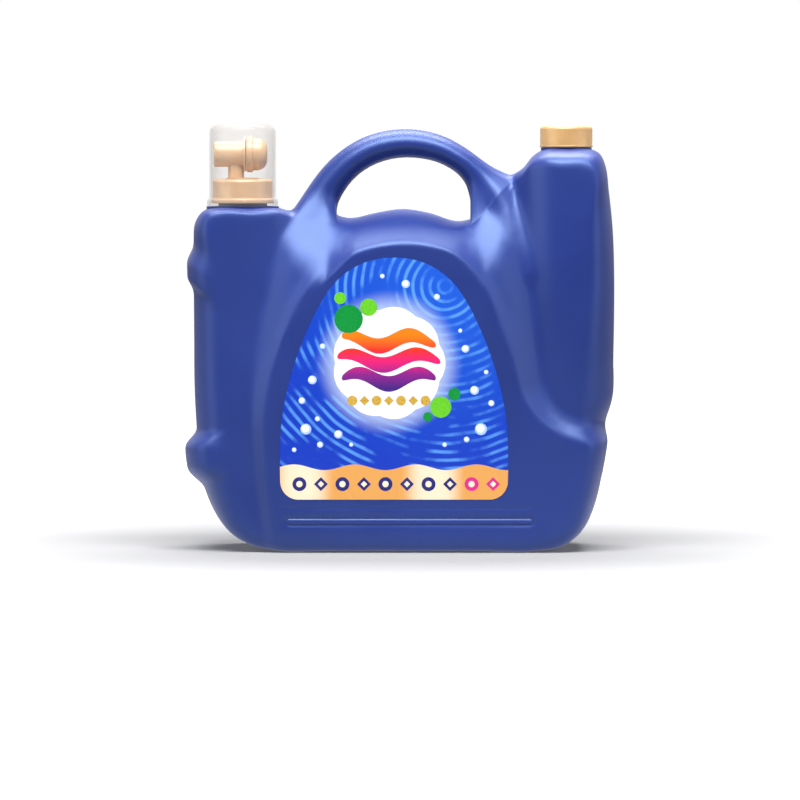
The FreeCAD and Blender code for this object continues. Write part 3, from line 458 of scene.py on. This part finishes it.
seal = {"colour": paint(38, 38, 42), "dust": paint(62, 62, 66), "dustScale": 400.0}
# the first foam colour is painted shade for the cell hollows; skin is the foam's own colour
foam = {"pitShade": paint(214, 214, 208), "skin": paint(238, 238, 234), "cellScale": 1800.0, "pitDepth": 0.05}


def makeRubber():
    material, tree, shader = newMaterial("sealRubber")
    place = objectPlace(tree)[0]
    dust = remap(tree, noise(tree, place, seal["dustScale"], 3.0), 0.4, 0.8)
    tree.links.new(blendColours(tree, dust, seal["colour"], seal["dust"]), shader.inputs["Base Color"])
    useGrain(tree, shader, Grain_Scale=2500.0, Grain_Depth=0.01, Wave_Depth=0.0,
             Gloss_Low=0.55, Gloss_High=0.7)
    return material


def makeFoam():
    material, tree, shader = newMaterial("linerFoam")
    place = objectPlace(tree)[0]
    cells = tree.nodes.new("ShaderNodeTexVoronoi")
    cells.inputs["Scale"].default_value = foam["cellScale"]
    tree.links.new(place, cells.inputs["Vector"])
    # cell middles, where the bump sinks, get the darker colour: painted shade in the foam's hollows
    shade = remap(tree, cells.outputs["Distance"], 0.0, 0.6)
    tree.links.new(blendColours(tree, shade, foam["pitShade"], foam["skin"]), shader.inputs["Base Color"])
    pits = calc(tree, "MULTIPLY", cells.outputs["Distance"], foam["pitDepth"])
    useGrain(tree, shader, Extra_Height=pits, Grain_Depth=0.0, Wave_Depth=0.0,
             Gloss_Low=0.7, Gloss_High=0.8)
    return material


rubber = makeRubber()
for node, name in (("tap_gasket", "tapGasket"), ("key_seal_1", "keySealOuter"),
                   ("key_seal_2", "keySealInner")):
    mergedCopy(node, name, rubber, 50.0)
mergedCopy("filler_cap_liner", "capLiner", makeFoam(), 30.0)


# Clear cover over the tap

cover = {
    "bottom": 266.8,
    "top": 330.7,
    "radius": 25.95,
    "wall": 1.2,
    "corner": 6.5,
    "flareRadius": 27.8,
    "flare": 5.4,
    "haze": paint(150, 144, 138),
    "paleHaze": paint(164, 158, 152),
    "cloudScale": 30.0,
    "veil": 0.085,              # how much one wall face hides of what is behind it
    "edgeVeil": 0.22,
    "glossLow": 0.1,
    "glossHigh": 0.18,
}


def makeClearPlastic():
    material, tree, shader = newMaterial("clearCover")
    place = objectPlace(tree)[0]
    cloud = clouds(tree, place, cover["cloudScale"], 2.0)
    tree.links.new(blendColours(tree, cloud, cover["haze"], cover["paleHaze"]), shader.inputs["Base Color"])
    facing = tree.nodes.new("ShaderNodeLayerWeight")
    facing.inputs["Blend"].default_value = 0.3
    edge = calc(tree, "MULTIPLY", facing.outputs["Facing"], cover["edgeVeil"])
    veil = remap(tree, cloud, 0.0, 1.0, cover["veil"] * 0.9, cover["veil"] * 1.1)
    tree.links.new(calc(tree, "ADD", veil, edge, clamp=True), shader.inputs["Alpha"])
    gloss = remap(tree, cloud, 0.0, 1.0, cover["glossLow"], cover["glossHigh"])
    tree.links.new(gloss, shader.inputs["Roughness"])
    setInputs(shader, IOR=1.49)
    return material


def makeCover():
    size = cover
    flareTop = size["bottom"] + size["flare"]
    inner = size["radius"] - size["wall"]
    flareInner = size["flareRadius"] - size["wall"]
    roof = size["top"] - size["wall"]
    bm = spunShape([
        (0, size["top"], 0), (size["radius"], size["top"], size["corner"]),
        (size["radius"], flareTop + 1.2, 0.8), (size["flareRadius"], flareTop - 0.6, 0.6),
        (size["flareRadius"], size["bottom"], 0.3), (flareInner, size["bottom"], 0.2),
        (flareInner, flareTop - 1.4, 0.5), (inner, flareTop + 0.6, 0.6),
        (inner, roof, size["corner"] - size["wall"]), (0, roof, 0),
    ])
    bmesh.ops.translate(bm, verts=bm.verts, vec=(tapAxis * mm, 0, 0))
    piece = newPiece("tapCoverShell", bm, makeClearPlastic(), "cover")
    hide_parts("tap_cover")


makeCover()
print("cover done")


# Labels: a generic print of water rings, a scalloped bloom, waves, pebbles and bubbles

printStrength = 0.66            # share of the light that the palest ink throws back


def printed(red, green, blue):
    colour = paint(red, green, blue)
    return tuple(printStrength * level for level in colour[:3]) + (1.0,)


label = {
    "face": 58.75,              # mm, printed face from the middle of the bottle
    "inkStep": 0.03,            # mm, thickness of one layer of ink
    "ringCentre": (34.0, 206.0),
    "ringDensity": 980.0,       # radians for each metre from the ring's middle
    "ringWobble": 5.0,
    "ringFade": 0.16,           # metres, where the middle blue has turned deep
    "streakShare": 0.8,
    "deepBlue": printed(16, 58, 190),
    "midBlue": printed(34, 100, 222),
    "paleBlue": printed(96, 166, 246),
    "bandTop": 66.5,
    "bandWave": 2.2,
    "bandPitch": 47.0,
    "bandSheen": 62.0,          # radians for each metre along the band
    "bandGold": printed(232, 166, 88),
    "bandPale": printed(250, 232, 202),
    "glowCentre": (-9.0, 147.0),
    "glowInner": 40.0,
    "glowOuter": 58.0,
    "glowShare": 0.5,
}


def distanceFrom(tree, x, z, centre):
    across = calc(tree, "SUBTRACT", x, centre[0] * mm)
    up = calc(tree, "SUBTRACT", z, centre[1] * mm)
    square = calc(tree, "ADD", calc(tree, "MULTIPLY", across, across), calc(tree, "MULTIPLY", up, up))
    return calc(tree, "SQRT", square)


def coatPrint(tree, shader, waveDepth, glossLow):
    # glossy varnish over film and inks
    useGrain(tree, shader, Grain_Scale=2200.0, Grain_Depth=0.002, Wave_Depth=waveDepth,
             Gloss_Low=glossLow, Gloss_High=0.3)
    setInputs(shader, IOR=1.45, Specular_IOR_Level=0.35)


def makeLabelPrint(name, glowing):
    material, tree, shader = newMaterial(name)
    place, x, _, z = objectPlace(tree)
    reach = distanceFrom(tree, x, z, label["ringCentre"])
    ripple = calc(tree, "ADD", calc(tree, "MULTIPLY", reach, label["ringDensity"]),
                  calc(tree, "MULTIPLY", noise(tree, place, 22.0), label["ringWobble"]))
    crest = remap(tree, calc(tree, "SINE", ripple), -0.2, 1.0)
    patch = remap(tree, noise(tree, place, 34.0, 3.0), 0.4, 0.62)
    streak = calc(tree, "MULTIPLY", crest, patch)
    middle = remap(tree, reach, 0.0, label["ringFade"], 0.75, 0.0)
    field = blendColours(tree, middle, label["deepBlue"], label["midBlue"])
    streak = calc(tree, "MULTIPLY", streak, label["streakShare"])
    field = blendColours(tree, streak, field, label["paleBlue"])
    if glowing:
        glow = distanceFrom(tree, x, z, label["glowCentre"])
        halo = remap(tree, glow, label["glowInner"] * mm, label["glowOuter"] * mm, label["glowShare"], 0.0)
        field = blendColours(tree, halo, field, printed(225, 240, 255))
    along = calc(tree, "MULTIPLY", x, math.tau / label["bandPitch"] / mm)
    wave = calc(tree, "MULTIPLY", calc(tree, "SINE", along), label["bandWave"] * mm)
    edge = calc(tree, "ADD", wave, label["bandTop"] * mm)
    inBand = calc(tree, "LESS_THAN", z, edge)
    sheen = calc(tree, "SINE", calc(tree, "MULTIPLY", x, label["bandSheen"]))
    bandColour = blendColours(tree, remap(tree, sheen, 0.0, 1.0), label["bandGold"], label["bandPale"])
    tree.links.new(blendColours(tree, inBand, field, bandColour), shader.inputs["Base Color"])
    coatPrint(tree, shader, 0.02, 0.24)
    return material


def makeInk(name, colour, darker):
    material, tree, shader = newMaterial(name)
    place = objectPlace(tree)[0]
    dots = remap(tree, noise(tree, place, 1200.0, 1.0), 0.45, 0.75)
    tree.links.new(blendColours(tree, dots, colour, darker), shader.inputs["Base Color"])
    coatPrint(tree, shader, 0.01, 0.22)
    return material


def makeSunsetInk():
    # orange at the top of the waves, through red and magenta to purple at their foot
    material, tree, shader = newMaterial("sunsetInk")
    z = objectPlace(tree)[3]
    ramp = tree.nodes.new("ShaderNodeValToRGB")
    stops = [(0.0, printed(72, 36, 130)), (0.25, printed(140, 36, 140)), (0.5, printed(232, 34, 120)),
             (0.72, printed(252, 52, 44)), (1.0, printed(255, 130, 22))]
    ramp.color_ramp.elements[0].position = stops[0][0]
    ramp.color_ramp.elements[0].color = stops[0][1]
    ramp.color_ramp.elements[1].position = stops[-1][0]
    ramp.color_ramp.elements[1].color = stops[-1][1]
    for position, colour in stops[1:-1]:
        ramp.color_ramp.elements.new(position).color = colour
    height = calc(tree, "DIVIDE", calc(tree, "SUBTRACT", z, waves["foot"] * mm),
                  (waves["top"] - waves["foot"]) * mm, clamp=True)
    tree.links.new(height, ramp.inputs[0])
    tree.links.new(ramp.outputs[0], shader.inputs["Base Color"])
    coatPrint(tree, shader, 0.01, 0.22)
    return material


def layInk(bm, centre, layer, material=0, spin=0.0):
    # stands a flat shape up on the label and gives it the thickness of its layers
    turn = Matrix.Rotation(math.radians(90), 4, "X") @ Matrix.Rotation(math.radians(spin), 4, "Z")
    verts = list(bm.verts)
    bmesh.ops.transform(bm, matrix=turn, verts=verts)
    depth = -(label["face"] + label["inkStep"] * layer) * mm
    bmesh.ops.translate(bm, verts=verts, vec=(centre[0] * mm, depth, centre[1] * mm))
    faces = list(bm.faces)
    made = bmesh.ops.extrude_face_region(bm, geom=faces)["geom"]
    back = [item for item in made if isinstance(item, bmesh.types.BMVert)]
    bmesh.ops.translate(bm, verts=back, vec=(0, label["inkStep"] * layer * mm, 0))
    bmesh.ops.recalc_face_normals(bm, faces=bm.faces)
    for face in bm.faces:
        face.material_index = material


def joinInks(name, shapes, materials):
    whole = bmesh.new()
    for shape in shapes:
        mesh = bpy.data.meshes.new("part")
        shape.to_mesh(mesh)
        shape.free()
        whole.from_mesh(mesh)
        bpy.data.meshes.remove(mesh)
    piece = newPiece(name, whole, materials[0], "jug", 20.0)
    for extra in materials[1:]:
        piece.data.materials.append(extra)


def disc(radius, centre, layer, material=0, segments=48):
    bm = bmesh.new()
    bmesh.ops.create_circle(bm, cap_ends=True, segments=segments, radius=radius * mm)
    layInk(bm, centre, layer, material)
    return bm


bloom = {"radius": 42.5, "lobes": 9, "swell": 0.055, "segments": 270}


def makeBloom():
    bm = bmesh.new()
    bmesh.ops.create_circle(bm, cap_ends=True, segments=bloom["segments"], radius=bloom["radius"] * mm)
    for vert in bm.verts:
        angle = math.atan2(vert.co.y, vert.co.x)
        lobe = abs(math.cos(bloom["lobes"] * angle / 2))
        vert.co *= 1.0 + bloom["swell"] * (lobe - 0.5)
    layInk(bm, label["glowCentre"], 1)
    return bm


waves = {
    "left": -49.0,
    "right": 31.0,
    "top": 168.0,
    "foot": 128.0,
    "rows": 3,
    "height": 12.2,
    "gap": 2.4,
    "shorter": 7.0,             # mm, by which the outer rows are shorter than the middle one
    "swing": 4.2,
    "cycles": 1.5,
    "taper": 0.35,
    "segments": 90,
}


def makeWaves():
    # three thick wave bands, each a strip bent by a sine and drawn to a point at both ends
    shapes = []
    for row in range(waves["rows"]):
        bm = bmesh.new()
        bmesh.ops.create_grid(bm, x_segments=waves["segments"], y_segments=1, size=0.5)
        long = waves["right"] - waves["left"] - waves["shorter"] * abs(row - 1)
        for vert in bm.verts:
            along = vert.co.x + 0.5
            taper = math.sin(math.pi * along) ** waves["taper"]
            swing = waves["swing"] * math.sin(math.tau * waves["cycles"] * along + 0.5 * row)
            height = vert.co.y * waves["height"] * taper + swing
            vert.co = Vector(((along - 0.5) * long * mm, height * mm, 0))
        bmesh.ops.remove_doubles(bm, verts=bm.verts, dist=0.001 * mm)
        middle = waves["foot"] + waves["height"] / 2 + 1.0 + row * (waves["height"] + waves["gap"])
        layInk(bm, ((waves["left"] + waves["right"]) / 2, middle), 2)
        shapes.append(bm)
    return shapes


# x, height, radius and which green, in mm
pebbles = [(-40.0, 181.0, 11.0, 0), (-24.5, 190.0, 6.6, 1), (-46.5, 197.0, 4.6, 1),
           (31.0, 113.0, 8.2, 1), (41.5, 123.0, 4.8, 0), (21.0, 105.5, 3.6, 0)]
# x, height and radius
bubbles = [(-73.0, 96.0, 4.2), (-64.0, 104.0, 2.0), (-76.0, 118.0, 2.6), (-62.0, 84.0, 2.4),
           (-68.0, 134.0, 3.4), (-60.0, 160.0, 2.2), (-48.0, 92.0, 3.2), (-38.0, 84.0, 1.6),
           (62.0, 96.0, 4.6), (51.0, 88.0, 2.2), (70.0, 116.0, 2.4), (57.0, 126.0, 3.4),
           (66.0, 140.0, 1.8), (50.0, 158.0, 3.0), (46.0, 172.0, 1.6), (28.0, 198.0, 2.4),
           (4.0, 208.0, 3.2), (-14.0, 214.0, 1.8), (34.0, 84.0, 1.8), (-82.0, 80.0, 1.8)]
studs = {"height": 118.0, "middle": -9.0, "pitch": 9.4, "count": 7, "size": 3.8}
tiles = {"height": 53.5, "left": -78.0, "pitch": 16.6, "count": 10, "size": 5.4, "hole": 0.45,
         "lastBright": 2}


def makeFrontPrint():
    whiteInk = makeInk("whiteInk", printed(250, 250, 252), printed(244, 246, 252))
    joinInks("labelBloom", [makeBloom()], [whiteInk])
    joinInks("labelWaves", makeWaves(), [makeSunsetInk()])
    greens = [makeInk("leafGreenInk", printed(18, 150, 62), printed(8, 132, 56)),
              makeInk("limeInk", printed(112, 208, 44), printed(84, 188, 44))]
    joinInks("labelPebbles", [disc(size, (x, z), 3, tint) for x, z, size, tint in pebbles], greens)
    bar = []
    for step in range(studs["count"]):
        across = studs["middle"] + (step - studs["count"] // 2) * studs["pitch"]
        bar.append(disc(studs["size"], (across, studs["height"]), 2, 0, 4 if step % 2 else 32))
    joinInks("labelGoldStuds", bar, [makeInk("goldInk", printed(214, 176, 74), printed(180, 138, 50))])
    paleInks = [makeInk("bubbleInk", printed(176, 208, 246), printed(160, 196, 242)),
                makeInk("bubbleShineInk", printed(238, 246, 255), printed(226, 238, 252))]
    rings = []
    for x, z, size in bubbles:
        rings.append(disc(size, (x, z), 1, 0))
        rings.append(disc(size * 0.72, (x - 0.1 * size, z + 0.12 * size), 2, 1))
    joinInks("labelBubbles", rings, paleInks)
    row = []
    for step in range(tiles["count"]):
        bright = step >= tiles["count"] - tiles["lastBright"]
        centre = (tiles["left"] + step * tiles["pitch"], tiles["height"])
        row.append(disc(tiles["size"], centre, 1, int(bright), 4 if step % 2 else 36))
        row.append(disc(tiles["size"] * tiles["hole"], centre, 2, 2, 4 if step % 2 else 24))
    joinInks("labelBandStuds", row, [makeInk("navyInk", printed(40, 44, 120), printed(34, 38, 108)),
                                     makeInk("magentaInk", printed(226, 44, 140), printed(206, 36, 128)),
                                     makeInk("creamInk", printed(252, 236, 210), printed(246, 226, 196))])


mergedCopy("front_label", "frontLabelSheet", makeLabelPrint("frontLabelPrint", True), 30.0)
mergedCopy("back_label", "backLabelSheet", makeLabelPrint("backLabelPrint", False), 30.0)
makeFrontPrint()
print("labels done")


# Floor, lights and camera

stage = {
    "floorRadius": 40.0,
    "floorColour": (0.23, 0.23, 0.236, 1.0),
    "nearLift": 0.08,           # light of its own that only the view sees
    "farLift": 1.0,
    "liftFrom": 0.16,           # metres from the bottle
    "liftTo": 0.7,
    "bounce": 0.7,              # light that the floor next to the bottle throws back at it
    "bounceNear": 0.175,        # metres from the bottle, full up to here and gone at the next
    "bounceReach": 0.7,
    "ambient": 0.10,
    "frontGloss": 0.02,         # what gloss sees of the room before the bottle
    "glossFrom": -0.1,
    "glossTo": 0.6,
}


def seenDirectly(tree):
    path = tree.nodes.new("ShaderNodeLightPath")
    seen = calc(tree, "MAXIMUM", path.outputs["Is Camera Ray"], path.outputs["Is Transmission Ray"])
    return path, seen


def makeFloor():
    bm = bmesh.new()
    bmesh.ops.create_circle(bm, cap_ends=True, segments=64, radius=stage["floorRadius"])
    mesh = bpy.data.meshes.new("floor")
    bm.to_mesh(mesh)
    bm.free()
    material = bpy.data.materials.new("paleFloor")
    material.use_nodes = True
    tree = material.node_tree
    tree.nodes.remove(tree.nodes["Principled BSDF"])
    matt = tree.nodes.new("ShaderNodeBsdfDiffuse")
    matt.inputs["Color"].default_value = stage["floorColour"]
    own = tree.nodes.new("ShaderNodeEmission")
    path, seen = seenDirectly(tree)
    _, x, y, _ = objectPlace(tree)
    away = calc(tree, "SQRT", calc(tree, "ADD", calc(tree, "MULTIPLY", x, x), calc(tree, "MULTIPLY", y, y)))
    lift = remap(tree, away, stage["liftFrom"], stage["liftTo"], stage["nearLift"], stage["farLift"])
    bounce = remap(tree, away, stage["bounceNear"], stage["bounceReach"], stage["bounce"], 0.0)
    turnedBack = calc(tree, "MAXIMUM", path.outputs["Is Diffuse Ray"], path.outputs["Is Glossy Ray"])
    bounce = calc(tree, "MULTIPLY", bounce, turnedBack)
    tree.links.new(calc(tree, "ADD", calc(tree, "MULTIPLY", seen, lift), bounce), own.inputs["Strength"])
    both = tree.nodes.new("ShaderNodeAddShader")
    tree.links.new(matt.outputs[0], both.inputs[0])
    tree.links.new(own.outputs[0], both.inputs[1])
    tree.links.new(both.outputs[0], tree.nodes["Material Output"].inputs["Surface"])
    mesh.materials.append(material)
    floor = bpy.data.objects.new("floor", mesh)
    bpy.context.scene.collection.objects.link(floor)


def makeWorld():
    world = bpy.data.worlds.new("studio")
    bpy.context.scene.world = world
    world.use_nodes = True
    tree = world.node_tree
    background = tree.nodes["Background"]
    background.inputs["Color"].default_value = (1.0, 1.0, 1.0, 1.0)
    path, direct = seenDirectly(tree)
    way = tree.nodes.new("ShaderNodeSeparateXYZ")
    tree.links.new(tree.nodes.new("ShaderNodeTexCoord").outputs["Generated"], way.inputs[0])
    gloss = remap(tree, way.outputs[1], stage["glossFrom"], stage["glossTo"], stage["frontGloss"], 1.0)
    level = remap(tree, direct, 0.0, 1.0, stage["ambient"], 1.0)
    glossy = path.outputs["Is Glossy Ray"]
    strength = calc(tree, "ADD", calc(tree, "MULTIPLY", level, calc(tree, "SUBTRACT", 1.0, glossy)),
                    calc(tree, "MULTIPLY", gloss, glossy))
    tree.links.new(strength, background.inputs["Strength"])


# place, aim, width, height, watts
lamps = {
    "topBox": ((0.0, -0.70, 1.65), (0.0, 0.0, 0.20), 1.5, 0.65, 84.0),
    "backBox": ((0.0, 0.75, 1.7), (0.0, 0.0, 0.20), 1.4, 0.6, 46.0),
    "leftBox": ((-1.36, -0.48, 0.62), (-0.05, 0.0, 0.16), 1.2, 1.1, 10.5),
    "rightBox": ((1.36, -0.48, 0.62), (0.05, 0.0, 0.16), 1.2, 1.1, 8.5),
}


def makeLamps():
    for name, (place, aim, width, height, watts) in lamps.items():
        data = bpy.data.lights.new(name, "AREA")
        data.shape = "RECTANGLE"
        data.size = width
        data.size_y = height
        data.energy = watts
        lamp = bpy.data.objects.new(name, data)
        lamp.location = place
        lamp.rotation_euler = (Vector(aim) - Vector(place)).to_track_quat("-Z", "Y").to_euler()
        bpy.context.scene.collection.objects.link(lamp)


photoView = {
    "aim": (-0.0004, 0.0, 0.1154),
    "distance": 5.0,
    "above": 3.0,               # degrees that the camera looks down
    "frameWidth": 0.624,        # metres across the picture at the bottle
    "sensor": 36.0,
    "clipEnd": 200.0,
}


def makeCamera():
    data = bpy.data.cameras.new("photoCamera")
    data.lens = photoView["sensor"] * photoView["distance"] / photoView["frameWidth"]
    data.sensor_width = photoView["sensor"]
    data.clip_end = photoView["clipEnd"]
    camera = bpy.data.objects.new("photoCamera", data)
    above = math.radians(photoView["above"])
    back = Vector((0.0, -math.cos(above), math.sin(above))) * photoView["distance"]
    camera.location = Vector(photoView["aim"]) + back
    camera.rotation_euler = (math.radians(90) - above, 0, 0)
    bpy.context.scene.collection.objects.link(camera)
    bpy.context.scene.camera = camera


makeFloor()
makeWorld()
makeLamps()
makeCamera()
bpy.context.scene.view_settings.view_transform = "Standard"

print("scene done")
